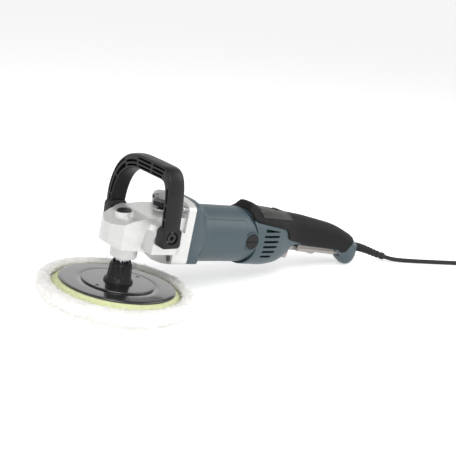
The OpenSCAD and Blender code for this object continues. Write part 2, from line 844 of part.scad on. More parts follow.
gear_housing();
gear_cover();
cover_screws();
gear_case_plug();
lower_bearing();
upper_bearing();
spindle();
ring_gear();
pinion();
armature_shaft();
armature_core();
commutator();
cooling_fan();
front_bearing();
rear_bearing();
bearing_cup();
stator_core();
field_coils();
air_baffle();
brush_holders();
carbon_brushes();
brush_springs();
brush_caps();
motor_housing();
housing_screws();
rear_shell_left();
rear_shell_right();
soft_grip_left();
soft_grip_right();
shell_screws();
dial_cover();
speed_dial();
speed_module();
trigger_switch();
switch_plunger();
paddle_trigger();
trigger_pin();
lock_off_lever();
lock_off_pin();
cord_clamp();
strain_relief();
power_cord();
cord_coil();
cord_tie();
plug_body();
plug_pins();
loop_handle();
handle_bolts();
handle_washers();
lock_button();
lock_spring();
pad_hub();
backing_plate();
foam_disc();
wool_bonnet();
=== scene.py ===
import math
import random

import bmesh
import bpy
from mathutils import Matrix, Vector, noise


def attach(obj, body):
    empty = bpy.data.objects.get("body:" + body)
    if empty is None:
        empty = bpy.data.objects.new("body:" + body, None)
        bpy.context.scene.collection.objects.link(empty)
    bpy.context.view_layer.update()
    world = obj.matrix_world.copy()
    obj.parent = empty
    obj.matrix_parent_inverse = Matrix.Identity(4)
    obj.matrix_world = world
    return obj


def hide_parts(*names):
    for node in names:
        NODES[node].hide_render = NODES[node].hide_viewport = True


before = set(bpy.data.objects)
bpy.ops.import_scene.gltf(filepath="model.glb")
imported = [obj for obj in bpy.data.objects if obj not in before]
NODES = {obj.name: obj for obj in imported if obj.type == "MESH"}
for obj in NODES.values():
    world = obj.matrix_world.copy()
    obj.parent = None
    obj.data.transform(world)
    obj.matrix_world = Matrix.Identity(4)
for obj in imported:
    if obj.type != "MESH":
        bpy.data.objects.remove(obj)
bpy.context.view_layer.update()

# ---- the tool's own frame, in millimetres: spindle axis on Z, backing plate's top at z = 0 ----
MM = 0.001
SHIFT = 198.0
TILT = math.radians(9.171325)
LIFT = 42.7237
POSED = (Matrix.Translation((-SHIFT * MM, 0, LIFT * MM)) @ Matrix.Rotation(TILT, 4, "Y")
         @ Matrix.Diagonal((MM, MM, MM, 1)))
STANDING = Matrix.Translation((-SHIFT * MM, 0, 0)) @ Matrix.Diagonal((MM, MM, MM, 1))
AXIS_Z = 71.0
ARC_X, ARC_Z, ARC_R = 110.0, 65.0, 85.0

# ---- camera ----
camera_data = bpy.data.cameras.new("camera")
camera_data.lens = 63.16
camera_data.sensor_width = 36
camera = bpy.data.objects.new("camera", camera_data)
bpy.context.scene.collection.objects.link(camera)
right = Vector((0.7959, -0.6002, 0.0793)).normalized()
back = Vector((-0.5927, -0.7458, 0.3042)).normalized()
up = back.cross(right).normalized()
right = up.cross(back).normalized()
camera.matrix_world = Matrix((
    (right.x, up.x, back.x, -0.7055), (right.y, up.y, back.y, -0.8643),
    (right.z, up.z, back.z, 0.4462), (0, 0, 0, 1)))
bpy.context.scene.camera = camera
bpy.context.scene.render.resolution_x = 456
bpy.context.scene.render.resolution_y = 456


# ---- materials: all procedural, in object coordinates ----
def link(tree, a, b):
    tree.links.new(a, b)


def material(name, color, rough=0.5, metal=0.0, mottle=0.06, mottle_scale=60, bump=0.15,
             bump_scale=900, bump_depth=0.0003, coat=0.0, sheen=0.0, rough_spread=0.06, stretch=(1, 1, 1),
             voronoi=False, subsurface=0.0, shine=0.5):
    """Colour and roughness wander with a soft noise, and a finer noise gives the surface its grain."""
    mat = bpy.data.materials.new(name)
    mat.use_nodes = True
    tree = mat.node_tree
    shader = tree.nodes["Principled BSDF"]
    coord = tree.nodes.new("ShaderNodeTexCoord")
    mapping = tree.nodes.new("ShaderNodeMapping")
    mapping.inputs["Scale"].default_value = stretch
    link(tree, coord.outputs["Object"], mapping.inputs["Vector"])
    soft = tree.nodes.new("ShaderNodeTexNoise")
    soft.inputs["Scale"].default_value = mottle_scale
    soft.inputs["Detail"].default_value = 4
    link(tree, mapping.outputs["Vector"], soft.inputs["Vector"])
    ramp = tree.nodes.new("ShaderNodeValToRGB")
    ramp.color_ramp.elements[0].position = 0.3
    ramp.color_ramp.elements[1].position = 0.7
    low = [c * (1 - mottle) for c in color]
    high = [min(1.0, c * (1 + mottle)) for c in color]
    ramp.color_ramp.elements[0].color = (*low, 1)
    ramp.color_ramp.elements[1].color = (*high, 1)
    link(tree, soft.outputs["Fac"], ramp.inputs["Fac"])
    link(tree, ramp.outputs["Color"], shader.inputs["Base Color"])
    spread = tree.nodes.new("ShaderNodeMapRange")
    spread.inputs["To Min"].default_value = max(0.02, rough - rough_spread)
    spread.inputs["To Max"].default_value = min(1.0, rough + rough_spread)
    link(tree, soft.outputs["Fac"], spread.inputs["Value"])
    link(tree, spread.outputs["Result"], shader.inputs["Roughness"])
    shader.inputs["Metallic"].default_value = metal
    shader.inputs["Specular IOR Level"].default_value = shine
    shader.inputs["Coat Weight"].default_value = coat
    shader.inputs["Coat Roughness"].default_value = 0.08
    shader.inputs["Sheen Weight"].default_value = sheen
    shader.inputs["Sheen Roughness"].default_value = 0.5
    shader.inputs["Subsurface Weight"].default_value = subsurface
    shader.inputs["Subsurface Radius"].default_value = (0.004, 0.003, 0.002)
    if bump > 0:
        grain = tree.nodes.new("ShaderNodeTexVoronoi" if voronoi else "ShaderNodeTexNoise")
        grain.inputs["Scale"].default_value = bump_scale
        link(tree, mapping.outputs["Vector"], grain.inputs["Vector"])
        bumper = tree.nodes.new("ShaderNodeBump")
        bumper.inputs["Strength"].default_value = bump
        bumper.inputs["Distance"].default_value = bump_depth
        link(tree, grain.outputs["Distance" if voronoi else "Fac"], bumper.inputs["Height"])
        link(tree, bumper.outputs["Normal"], shader.inputs["Normal"])
    return mat


ALU = material("cast_aluminium", (0.62, 0.62, 0.61), 0.42, 0.75, 0.05, 90, 0.25, 1400, 0.0002)
STEEL = material("steel", (0.5, 0.5, 0.51), 0.28, 1.0, 0.08, 200, 0.1, 2000)
BLACK_STEEL = material("black_steel", (0.03, 0.03, 0.032), 0.34, 0.6, 0.2, 200, 0.1, 1500)
COPPER = material("copper", (0.6, 0.27, 0.13), 0.4, 0.9, 0.15, 300, 0.3, 700)
BRASS = material("brass", (0.6, 0.44, 0.18), 0.35, 1.0, 0.1, 200, 0.1, 900)
CARBON = material("carbon", (0.02, 0.02, 0.02), 0.7, 0.0, 0.2, 200, 0.2, 1500)
TEAL = material("housing_plastic", (0.036, 0.060, 0.071), 0.46, 0.0, 0.05, 45, 0.25, 2600, 0.00012)
RUBBER = material("grip_rubber", (0.008, 0.008, 0.0085), 0.6, 0.0, 0.15, 120, 0.3, 1900, 0.0002, shine=0.14)
PLASTIC = material("black_plastic", (0.010, 0.010, 0.0105), 0.42, 0.0, 0.12, 80, 0.25, 2200, 0.00015,
                   shine=0.22)
GREY = material("grey_plastic", (0.020, 0.0185, 0.017), 0.45, 0.0, 0.08, 90, 0.25, 2200, 0.00015,
                shine=0.3)
PADDLE = material("paddle_plastic", (0.27, 0.25, 0.235), 0.5, 0.0, 0.06, 90, 0.25, 2200, 0.00015)
TAB = material("tab_plastic", (0.36, 0.29, 0.27), 0.5, 0.0, 0.06, 90, 0.25, 2200, 0.00015)
CIRCUIT = material("circuit", (0.02, 0.12, 0.06), 0.4, 0.0, 0.25, 300, 0.2, 800)
CORD_RUBBER = material("cord_rubber", (0.014, 0.014, 0.015), 0.6, 0.0, 0.12, 150, 0.3, 1700, 0.0002,
                       shine=0.3)
PLATE = material("plate_plastic", (0.014, 0.014, 0.015), 0.24, 0.0, 0.15, 60, 0.04, 900, 0.0001, coat=0.5)
FOAM = material("foam", (0.60, 0.63, 0.36), 0.85, 0.0, 0.1, 250, 0.8, 700, 0.0009, voronoi=True,
                subsurface=0.15)
WOOL = material("wool", (0.79, 0.775, 0.75), 0.9, 0.0, 0.05, 160, 0.7, 420, 0.0016, sheen=0.5,
                subsurface=0.2)

PAINT = {
    ALU: ["gear_housing", "gear_cover"],
    STEEL: ["lower_bearing", "upper_bearing", "spindle", "ring_gear", "pinion", "armature_shaft",
            "front_bearing", "rear_bearing", "stator_core", "brush_springs", "housing_screws",
            "shell_screws", "trigger_pin", "lock_off_pin", "plug_pins", "handle_washers", "lock_spring"],
    BLACK_STEEL: ["cover_screws", "gear_case_plug", "handle_bolts"],
    COPPER: ["armature_core", "field_coils"],
    BRASS: ["commutator", "brush_holders"],
    CARBON: ["carbon_brushes"],
    TEAL: ["motor_housing", "rear_shell_left", "rear_shell_right"],
    RUBBER: ["soft_grip_left", "soft_grip_right"],
    PLASTIC: ["cooling_fan", "bearing_cup", "air_baffle", "brush_caps", "speed_dial", "trigger_switch",
              "cord_clamp", "loop_handle", "lock_button", "pad_hub", "cord_tie"],
    GREY: ["dial_cover"],
    PADDLE: ["paddle_trigger"],
    TAB: ["switch_plunger", "lock_off_lever"],
    CIRCUIT: ["speed_module"],
    CORD_RUBBER: ["strain_relief", "power_cord", "cord_coil", "plug_body"],
    PLATE: ["backing_plate"],
    FOAM: ["foam_disc"],
    WOOL: ["wool_bonnet"],
}
for mat, names in PAINT.items():
    for name in names:
        data = NODES[name].data
        data.materials.clear()
        data.materials.append(mat)


# ---- mesh helpers ----
def add_mesh(name, verts, faces, mat, place=POSED, smooth=True, sharp=35):
    data = bpy.data.meshes.new(name)
    data.from_pydata([tuple(place @ Vector(v)) for v in verts], [], faces)
    data.materials.append(mat)
    bm = bmesh.new()
    bm.from_mesh(data)
    bmesh.ops.recalc_face_normals(bm, faces=bm.faces)
    bm.to_mesh(data)
    bm.free()
    obj = bpy.data.objects.new(name, data)
    bpy.context.scene.collection.objects.link(obj)
    if smooth:
        shade(obj, sharp)
    return obj


def shade(obj, sharp=35):
    for poly in obj.data.polygons:
        poly.use_smooth = True
    obj.data.set_sharp_from_angle(angle=math.radians(sharp))


def apply_all(obj):
    bpy.context.view_layer.update()
    deps = bpy.context.evaluated_depsgraph_get()
    data = bpy.data.meshes.new_from_object(obj.evaluated_get(deps))
    obj.modifiers.clear()
    obj.data = data


def bevel(obj, width, segments=3, angle=30):
    mod = obj.modifiers.new("bevel", "BEVEL")
    mod.width = width * MM
    mod.segments = segments
    mod.limit_method = "ANGLE"
    mod.angle_limit = math.radians(angle)
    mod.use_clamp_overlap = True
    mod.harden_normals = False
    return mod


def boolean(obj, cutter, operation="DIFFERENCE"):
    mod = obj.modifiers.new("cut", "BOOLEAN")
    mod.operation = operation
    mod.object = cutter
    mod.solver = "EXACT"
    apply_all(obj)
    bpy.data.objects.remove(cutter)


def box_mesh(lo, hi):
    (x0, y0, z0), (x1, y1, z1) = lo, hi
    verts = [(x, y, z) for x in (x0, x1) for y in (y0, y1) for z in (z0, z1)]
    faces = [(0, 1, 3, 2), (4, 6, 7, 5), (0, 4, 5, 1), (2, 3, 7, 6), (0, 2, 6, 4), (1, 5, 7, 3)]
    return verts, faces


def cut_box(obj, lo, hi, place=POSED):
    verts, faces = box_mesh(lo, hi)
    boolean(obj, add_mesh("cutter", verts, faces, TEAL, place, smooth=False))


def extrude(outline, a, b, at):
    """Prism of a 2-D outline between a and b. at(u, v, w) gives the point."""
    n = len(outline)
    verts = [at(u, v, a) for u, v in outline] + [at(u, v, b) for u, v in outline]
    faces = [tuple(range(n)), tuple(range(2 * n - 1, n - 1, -1))]
    faces += [(i, (i + 1) % n, n + (i + 1) % n, n + i) for i in range(n)]
    return verts, faces


def circle_points(cx, cy, r, n=64, a0=0.0, a1=360.0, closed=True):
    count = n if closed else n + 1
    return [(cx + r * math.cos(math.radians(a0 + (a1 - a0) * i / n)),
             cy + r * math.sin(math.radians(a0 + (a1 - a0) * i / n))) for i in range(count)]


def along_y(u, v, w):
    return (u, w, v)


def along_z(u, v, w):
    return (u, v, w)


def along_x(u, v, w):
    return (w, u, v)


def grid_faces(rows, cols, wrap_rows=False, wrap_cols=False):
    faces = []
    for i in range(rows if wrap_rows else rows - 1):
        for j in range(cols if wrap_cols else cols - 1):
            a, b = (i + 1) % rows, (j + 1) % cols
            faces.append((i * cols + j, i * cols + b, a * cols + b, a * cols + j))
    return faces


def lathe(name, profile, mat, steps=128, wobble=None, sharp=35):
    """Turns a closed profile of (r, z) about the spindle axis. wobble(r, z, angle) may move a point."""
    verts = []
    for i in range(steps):
        angle = 2 * math.pi * i / steps
        for r, z in profile:
            q, h = wobble(r, z, angle) if wobble else (r, z)
            verts.append((q * math.cos(angle), q * math.sin(angle), h))
    faces = grid_faces(steps, len(profile), wrap_rows=True, wrap_cols=True)
    return add_mesh(name, verts, faces, mat, sharp=sharp)


def settle(obj, body, slot_name, *nodes):
    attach(obj, body)
    if nodes:
        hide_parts(*nodes)
    return obj


# ---- cord ----
CORD_D = 7.0
COIL = (712.0, -90.0)
BOOT = [(445.5, 0, 26.6), (455, -0.6, 25.2), (465, -3.6, 22.4), (476, -8.6, 18.2), (488, -16, 13.1),
        (500.9, -25, 8.4)]
ROUTE = [(500.9, -25, 8.4), (507, -30, 6.4), (514, -35, 4.8), (527, -43, 3.8), (546, -56, 3.5),
         (565, -67.5, 3.5), (586, -81, 3.5), (608, -94.5, 3.5), (632, -110, 3.5), (656, -122.5, 3.5),
         (684, -131.5, 3.5)]
TURN_R = [45.5, 38.5, 31.5]
PLUG = (712.0, -128.5, 38.0)


def smooth01(f):
    f = min(1.0, max(0.0, f))
    return f * f * (3 - 2 * f)


def coil_points():
    """Nine turns, three to a layer: inwards, outwards, then inwards again."""
    lanes = [(r, 3.5) for r in TURN_R] + [(r, 10.5) for r in TURN_R[::-1]] + [(r, 17.5) for r in TURN_R]
    points = []
    for k, (r, z) in enumerate(lanes):
        nr, nz = lanes[min(k + 1, len(lanes) - 1)]
        last = k == len(lanes) - 1
        for i in range(24):
            if last and i > 14:
                break
            f = min(1.0, max(0.0, (i / 24 - 0.72) / 0.28)) if not last else 0.0
            f = f * f * (3 - 2 * f)
            a = math.radians(-90 + 15 * i)
            q = r + (nr - r) * f
            h = z + (nz - z) * f + (7.0 * smooth01((i - 5) / 9) if last else 0.0)
            points.append((COIL[0] + q * math.cos(a), COIL[1] + q * math.sin(a), h))
    return points


def plug_run():
    """The last of the cord leaves the coil's top turn and sweeps round to the back of the plug."""
    bend, x, y = 28.5, PLUG[0] - 23.3, PLUG[1] + 28.5
    points = [(685.4, -69.0, 25.2)]
    for i in range(9):
        heading = math.radians(-150 + 150 * i / 8)
        points.append((x + bend * math.sin(heading), y - bend * math.cos(heading),
                       26.0 + (PLUG[2] - 26.0) * smooth01(i / 8)))
    return points + [(PLUG[0] - 20, PLUG[1], PLUG[2])]


def poly_curve(name, points, bevel_r, mat, place=STANDING, resolution=6):
    data = bpy.data.curves.new(name, "CURVE")
    data.dimensions = "3D"
    data.bevel_depth = bevel_r * MM
    data.bevel_resolution = resolution
    data.use_fill_caps = True
    data.resolution_u = 6
    spline = data.splines.new("NURBS")
    spline.points.add(len(points) - 1)
    for i, p in enumerate(points):
        spline.points[i].co = (*(place @ Vector(p)), 1)
    spline.order_u = 4
    spline.use_endpoint_u = True
    data.materials.append(mat)
    obj = bpy.data.objects.new(name, data)
    bpy.context.scene.collection.objects.link(obj)
    return obj


turns = coil_points()
cord_path = ROUTE + turns + plug_run()
cord = poly_curve("power_cord_run", cord_path, CORD_D / 2, CORD_RUBBER)


settle(cord, "tool", "cord_rubber", "power_cord", "cord_coil")


# ---- profile helpers ----
def lerp(a, b, f):
    return a + (b - a) * f


def turn_steps(a, b, n):
    return [lerp(a, b, i / n) for i in range(n + 1)]


def arc_profile(cx, cz, r, a0, a1, n):
    return [(cx + r * math.cos(math.radians(lerp(a0, a1, i / n))),
             cz + r * math.sin(math.radians(lerp(a0, a1, i / n)))) for i in range(n + 1)]


def span(p, q, n):
    return [(lerp(p[0], q[0], i / n), lerp(p[1], q[1], i / n)) for i in range(n)]


def keep_up(obj, low=0.0003):
    """Nothing soft sinks into the ground: what would is pressed flat on it."""
    for v in obj.data.vertices:
        v.co.z = max(v.co.z, low)


BONNET = (span((0.5, -28), (91.5, -28), 24) + arc_profile(91.5, -14, 14, -90, 0, 14)[:-2]
          + arc_profile(96.5, -8, 9.3, -8, 150, 18) + [(89.8, -6.5), (91.5, -9.5)]
          + span((92.2, -12.5), (92.2, -22.3), 5) + span((92.2, -22.3), (0.5, -22.3), 5) + [(0.5, -22.3)])


def sag(angle, z):
    """The rim has slumped, most of all on one side."""
    f = 0.5 + 0.5 * math.cos(angle - math.radians(220.4))
    return -16 + (z + 16) * (1 - 0.5 * f ** 1.5) if z > -16 else z


def nap(r, z, angle):
    """Locks of wool: broad waves with finer tufts on them, only on the bonnet's outside."""
    if z < -21 and r < 92.5 and z > -27 or r < 1:
        return r, z
    p = Vector((r * math.cos(angle), r * math.sin(angle), z))
    wave = noise.noise(p / 16) * 1.6 + noise.noise(p / 5 + Vector((9, 2, 4))) * 0.8
    wave += noise.noise(p / 2.4 + Vector((3, 7, 1))) * 0.45
    core = Vector((94.5, -13.0)) if r > 80 else Vector((r, -18.0))
    out = (Vector((r, z)) - core)
    out = out.normalized() if out.length > 0 else Vector((0, -1))
    return r + out.x * wave, sag(angle, z + out.y * wave * 0.8)


bonnet = lathe("wool_bonnet_pile", BONNET, WOOL, 420, wobble=nap, sharp=80)
keep_up(bonnet)
random.seed(7)
lock_verts, lock_faces = [], []
for _ in range(9000):
    angle = random.uniform(0, 2 * math.pi)
    k = random.random()
    if k < 0.45:
        a = math.radians(random.uniform(-90, 0))
        r, z, n2 = 91.5 + 13.6 * math.cos(a), -14 + 13.6 * math.sin(a), (math.cos(a), math.sin(a))
    elif k < 0.92:
        a = math.radians(random.uniform(-8, 150))
        r, z, n2 = 96.5 + 9.0 * math.cos(a), -8 + 9.0 * math.sin(a), (math.cos(a), math.sin(a))
    else:
        r, z, n2 = 89.6, random.uniform(-9, -5), (-1, 0.2)
    c, s = math.cos(angle), math.sin(angle)
    base = Vector((r * c, r * s, sag(angle, z)))
    normal = Vector((n2[0] * c, n2[0] * s, n2[1]))
    lean = Vector((random.gauss(0, 0.7), random.gauss(0, 0.7), random.gauss(-0.1, 0.5)))
    side = normal.cross(lean)
    side = side.normalized() if side.length > 1e-6 else Vector((0, 0, 1))
    length = random.uniform(1.6, 3.2)
    width = random.uniform(0.25, 0.5)
    start = len(lock_verts)
    for f, w in ((0.0, 1.0), (0.5, 0.75)):
        mid = base + normal * length * f * (1 - 0.3 * f) + lean * length * f * f * 0.9
        lock_verts += [tuple(mid - side * width * w), tuple(mid + side * width * w)]
    lock_verts.append(tuple(base + normal * length * 0.72 + lean * length * 0.95))
    lock_faces += [(start, start + 1, start + 3, start + 2), (start + 2, start + 3, start + 4)]
locks = add_mesh("wool_bonnet_locks", lock_verts, lock_faces, WOOL, sharp=80)
keep_up(locks)
settle(bonnet, "spindle", "wool", "wool_bonnet")
settle(locks, "spindle", "wool")

FOAM_RING = (arc_profile(86.5, -18.5, 3.3, -90, 0, 4) + [(89.9, -16), (89.8, -14), (89.2, -12.2), (88, -10.8)]
             + span((88, -10.8), (81, -4.9), 5)[1:] + [(81, -4.9), (80.2, -4.35), (79.3, -4.15)]
             + span((79, -4.15), (0.5, -4.15), 4) + [(0.5, -4.15), (0.5, -21.8)] + span((4, -21.8), (86, -21.8), 6))


def cells(r, z, angle):
    if r < 79 or z < -19:
        return r, z
    p = Vector((r * math.cos(angle), r * math.sin(angle), z))
    return r + noise.noise(p / 3) * 0.18, z + noise.noise(p / 2.2 + Vector((5, 5, 5))) * 0.16


foam = lathe("foam_disc_cells", FOAM_RING, FOAM, 240, wobble=cells, sharp=60)
settle(foam, "spindle", "foam", "foam_disc")

PLATE_RING = ([(0.5, -4.0)] + span((10, -4.0), (77.5, -4.0), 3) + arc_profile(77.6, -2.7, 1.3, -90, 80, 8)
              + [(74, -1.32), (60, -1.2), (49.6, -1.15)] + arc_profile(48.6, -0.9, 0.7, -60, 0, 3)
              + arc_profile(48.2, -0.8, 1.0, 0, 90, 5)
              + [(46, 0.22), (30, 0.25), (24, 0.3), (7.2, 0.3), (7.2, -3.9)])
plate = lathe("backing_plate_turned", PLATE_RING, PLATE, 160, sharp=40)
for angle in (20, 200):
    c, s = math.cos(math.radians(angle)), math.sin(math.radians(angle))
    hole = extrude(circle_points(42 * c, 42 * s, 2.6, 24), -2.5, 5, along_z)
    boolean(plate, add_mesh("cutter", *hole, PLATE, smooth=False))
shade(plate, 40)
settle(plate, "spindle", "plate_plastic", "backing_plate")

# hub: fluted barrel, flared foot, crown of eight teeth
hub_rows = [(7.1, 0.32), (19.8, 0.32), (19.8, 2.2), (19.2, 3.4), (17.4, 5.2), (16.5, 6.6), (16.2, 8),
            (15.0, 22.5), (14.7, 24.6), (13.9, 25.8), (12.8, 26.0), (12.4, 26.3), (12.4, 29.6), (12.0, 30.0),
            (9.9, 30.0), (9.6, 29.7), (9.6, 27.0), (7.1, 26.8)]
hub_verts = []
HUB_STEPS = 192
for i in range(HUB_STEPS):
    angle = 2 * math.pi * i / HUB_STEPS
    wave = (i % 16) / 16.0
    flute = max(0.0, math.cos((wave - 0.5) * 2 * math.pi)) ** 0.7
    gap_tooth = abs((i + 12) % 24 - 12) < 6
    for r, z in hub_rows:
        q, h = r, z
        if 6 < z < 25 and r > 14:
            q = r - 1.6 * flute * min(1.0, (z - 6) / 3, (25.5 - z) / 2.5)
        if z > 26.9 and gap_tooth:
            h = min(z, 27.0) + 0.02 * (z - 27)
        hub_verts.append((q * math.cos(angle), q * math.sin(angle), h))
hub = add_mesh("pad_hub_fluted", hub_verts, grid_faces(HUB_STEPS, len(hub_rows), True, True), PLASTIC, sharp=38)
settle(hub, "spindle", "black_plastic", "pad_hub")

# ---- strain relief ----
BOOT_R = [7.6, 7.3, 6.9, 6.5, 6.1, 5.8]


def spline_at(points, t):
    """Smooth curve through points of any size, t from 0 to the last index."""
    k = min(int(t), len(points) - 2)
    f = t - k
    p = [points[min(max(k + i, 0), len(points) - 1)] for i in (-1, 0, 1, 2)]
    return [0.5 * (2 * b + (c - a) * f + (2 * a - 5 * b + 4 * c - d) * f * f + (3 * b - a - 3 * c + d) * f ** 3)
            for a, b, c, d in zip(*p)]


verts, BOOT_STEPS, BOOT_SIDES = [], 132, 40
for i in range(BOOT_STEPS + 1):
    t = 5 * i / BOOT_STEPS
    here = Vector(spline_at(BOOT, t))
    ahead = Vector(spline_at(BOOT, min(5, t + 0.05))) - Vector(spline_at(BOOT, max(0, t - 0.05)))
    ahead.normalize()
    side = Vector((0, 1, 0))
    side = (side - ahead * side.dot(ahead)).normalized()
    top = side.cross(ahead)
    r = spline_at([(q,) for q in BOOT_R], t)[0]
    for j in range(BOOT_SIDES):
        a = 2 * math.pi * j / BOOT_SIDES
        rib = 0.0
        if 0.7 < t < 4.7:
            wave = math.sin((t - 0.7) * 2 * math.pi * 2.5)
            rib = -1.0 * smooth01((wave - 0.1) / 0.5)
        if t > 4.85:
            rib = -1.2 * (t - 4.85) / 0.15
        verts.append(tuple(here + side * (r + rib) * math.cos(a) + top * (r + rib) * math.sin(a)))
faces = grid_faces(BOOT_STEPS + 1, BOOT_SIDES, wrap_cols=True)
faces += [tuple(range(BOOT_SIDES)), tuple(len(verts) - BOOT_SIDES + j for j in range(BOOT_SIDES))]
boot = add_mesh("strain_relief_moulded", verts, faces, CORD_RUBBER, STANDING, sharp=50)
settle(boot, "tool", "cord_rubber", "strain_relief")

# ---- loop handle ----
LOOP_X, BOLT_Z, LEAN = 18.0, 83.0, math.radians(-3.4)
LOOP_X0 = 6.5
LEANED = (POSED @ Matrix.Translation((LOOP_X, 0, BOLT_Z)) @ Matrix.Rotation(LEAN, 4, "Y")
          @ Matrix.Translation((-LOOP_X, 0, -BOLT_Z)))
# outer and inner side of the loop at matching stations from the -Y foot to the +Y foot: y, z, y, z
LOOP = [
    (-75.4, 80, -64.4, 80), (-75.0, 95, -64.0, 95), (-74.5, 110, -63.6, 110), (-73.9, 124, -63.3, 123),
    (-73.0, 137, -62.6, 133.5), (-71.4, 148, -60.6, 142.5), (-68.0, 158, -57.3, 148.7),
    (-62.3, 165.6, -53.3, 151.6), (-54, 169.3, -48, 152.5), (-42, 170.2, -39, 152.8), (-24, 170.9, -23, 153),
    (-6, 171.3, -7, 153.3), (11, 171.3, 7, 153.3), (25, 169.8, 18, 152.2), (39, 165.4, 29, 149.3),
    (52, 156.8, 39.5, 143.3), (62.4, 146, 48.3, 135.5), (69.5, 133.3, 54.7, 126), (74.2, 120, 59.3, 115.3),
    (76.4, 106, 62.6, 103.5), (76.4, 93, 64.2, 92), (76.0, 80, 65.1, 80)]


def loop_at(t):
    """Outer and inner point of the loop at station t, on a smooth curve through the stations."""
    k = min(int(t), len(LOOP) - 2)
    f = t - k
    p = [LOOP[min(max(k + i, 0), len(LOOP) - 1)] for i in (-1, 0, 1, 2)]
    q = [0.5 * (2 * p[1][j] + (p[2][j] - p[0][j]) * f + (2 * p[0][j] - 5 * p[1][j] + 4 * p[2][j] - p[3][j]) * f * f
                + (3 * p[1][j] - p[0][j] - 3 * p[2][j] + p[3][j]) * f ** 3) for j in range(4)]
    return (q[0], q[1]), (q[2], q[3])


def loop_point(t, x, across, crown=0.0):
    (oy, oz), (iy, iz) = loop_at(t)
    wide = math.hypot(oy - iy, oz - iz)
    return (x, lerp(oy, iy, across) + (oy - iy) / wide * crown, lerp(oz, iz, across) + (oz - iz) / wide * crown)


# cross-section of the bar: depth from its front, share of the way in from its outside, swell
BAR = [(0, 0.5, 0), (0, 0.16, 0), (0.25, 0.09, 0), (0.9, 0.04, 0), (1.9, 0.01, 0), (3.2, 0, 0.25), (6, 0, 0.65),
       (9, 0, 0.95), (12, 0, 1.1), (15, 0, 1.0), (18, 0, 0.6), (20, 0, 0), (21.6, 0.03, 0), (22.9, 0.1, 0),
       (23.7, 0.2, 0), (24, 0.32, 0), (24, 0.55, 0), (24, 0.8, 0), (23.6, 0.91, 0), (22.7, 0.97, 0), (21.3, 1, 0),
       (12, 1, 0), (2.2, 1, 0), (1.0, 0.97, 0), (0.3, 0.93, 0), (0, 0.87, 0)]
loop_steps = turn_steps(0, len(LOOP) - 1, 168)
verts = [loop_point(t, LOOP_X0 + x, s, crown) for t in loop_steps for x, s, crown in BAR]
faces = grid_faces(len(loop_steps), len(BAR), wrap_cols=True)
faces += [tuple(range(len(BAR))), tuple(len(verts) - len(BAR) + i for i in range(len(BAR)))]
loop = add_mesh("loop_handle_moulded", verts, faces, PLASTIC, LEANED)


def pocket(t0, t1, lo, hi, steps=16):
    """Pocket with round ends in the front face from station t0 to t1, between two shares of the width."""
    upper, lower = [], []
    (ay, az), _ = loop_at(t0)
    (by, bz), _ = loop_at(t1)
    end = 1.3 / max(4.0, math.hypot(by - ay, bz - az))
    for i in range(steps + 1):
        f = 0.5 - 0.5 * math.cos(math.pi * i / steps)
        pinch = math.sqrt(min(1.0, 0.12 + min(f, 1 - f) / end))
        mid, half = (lo + hi) / 2, (hi - lo) / 2 * pinch
        t = lerp(t0, t1, f)
        upper.append(loop_point(t, 0, mid - half)[1:])
        lower.append(loop_point(t, 0, mid + half)[1:])
    return extrude(upper + lower[::-1], LOOP_X0 - 2, LOOP_X0 + 9, along_x)


pockets = [(t0, t1, 0.34, 0.68) for t0, t1 in ((0.75, 1.62), (1.8, 2.95), (3.15, 4.95))]
for t0, t1 in ((7.75, 9.8), (10.0, 11.9)):
    pockets += [(t0, t1, 0.15, 0.30), (t0, t1, 0.44, 0.60), (t0, t1, 0.73, 0.87)]
pockets += [(12.1, 14.2, 0.40, 0.57), (12.1, 14.2, 0.71, 0.86)]
pockets += [(t0, t1, 0.17, 0.31) for t0, t1 in ((14.4, 16.6), (16.75, 18.9), (19.0, 20.6))]
pockets += [(t0, t1, 0.52, 0.82) for t0, t1 in ((14.4, 16.6), (16.75, 18.9), (19.0, 20.6))]
cut_verts, cut_faces = [], []
for entry in pockets:
    v, f = pocket(*entry)
    cut_faces += [tuple(i + len(cut_verts) for i in face) for face in f]
    cut_verts += v
boolean(loop, add_mesh("cutter", cut_verts, cut_faces, PLASTIC, LEANED, smooth=False))
for s in (-1, 1):
    corner = [(LOOP_X - 14 + u, 69 + w) for u, w in ((0, 3), (3, 0), (25, 0), (28, 3), (28, 22), (23.5, 27),
                                                    (4.5, 27), (0, 22))]
    lo, hi = sorted((s * 59.25, s * 76.4))
    block = add_mesh("block", *extrude(corner, lo, hi, along_y), PLASTIC, LEANED)
    bevel(block, 1.6, 3, 25)
    apply_all(block)
    boolean(loop, block, "UNION")
    for r, depth in ((8.7, 8.9), (4.1, 30)):
        lo, hi = sorted((s * 78, s * (76.4 - depth)))
        hole = extrude(circle_points(LOOP_X, BOLT_Z, r, 40), lo, hi, along_y)
        boolean(loop, add_mesh("cutter", *hole, PLASTIC, LEANED, smooth=False))
bevel(loop, 0.45, 2, 50)
shade(loop, 40)
settle(loop, "tool", "black_plastic", "loop_handle")

# ---- motor housing ----
STEP_X = 93.0
BRUSH_X = 184.0
# rim of the flange plate about the motor axis, from its bottom to its top: y, z
FLANGE = [(0, -41), (22, -38.5), (40, -34), (44, -32), (45, -29.5), (45, 42), (43.3, 45.6), (37, 49.5),
          (22, 52), (0, 52.6)]


def flange_reach(angle):
    """Distance from the axis to the rim of the flange plate."""
    c, s = abs(math.cos(angle)), math.sin(angle)
    for (y0, z0), (y1, z1) in zip(FLANGE, FLANGE[1:]):
        dy, dz = y1 - y0, z1 - z0
        across = c * dz - s * dy
        f = (s * y0 - c * z0) / across if abs(across) > 1e-9 else -1.0
        if -1e-6 <= f <= 1 + 1e-6:
            return c * (y0 + f * dy) + s * (z0 + f * dz)
    return 45.0


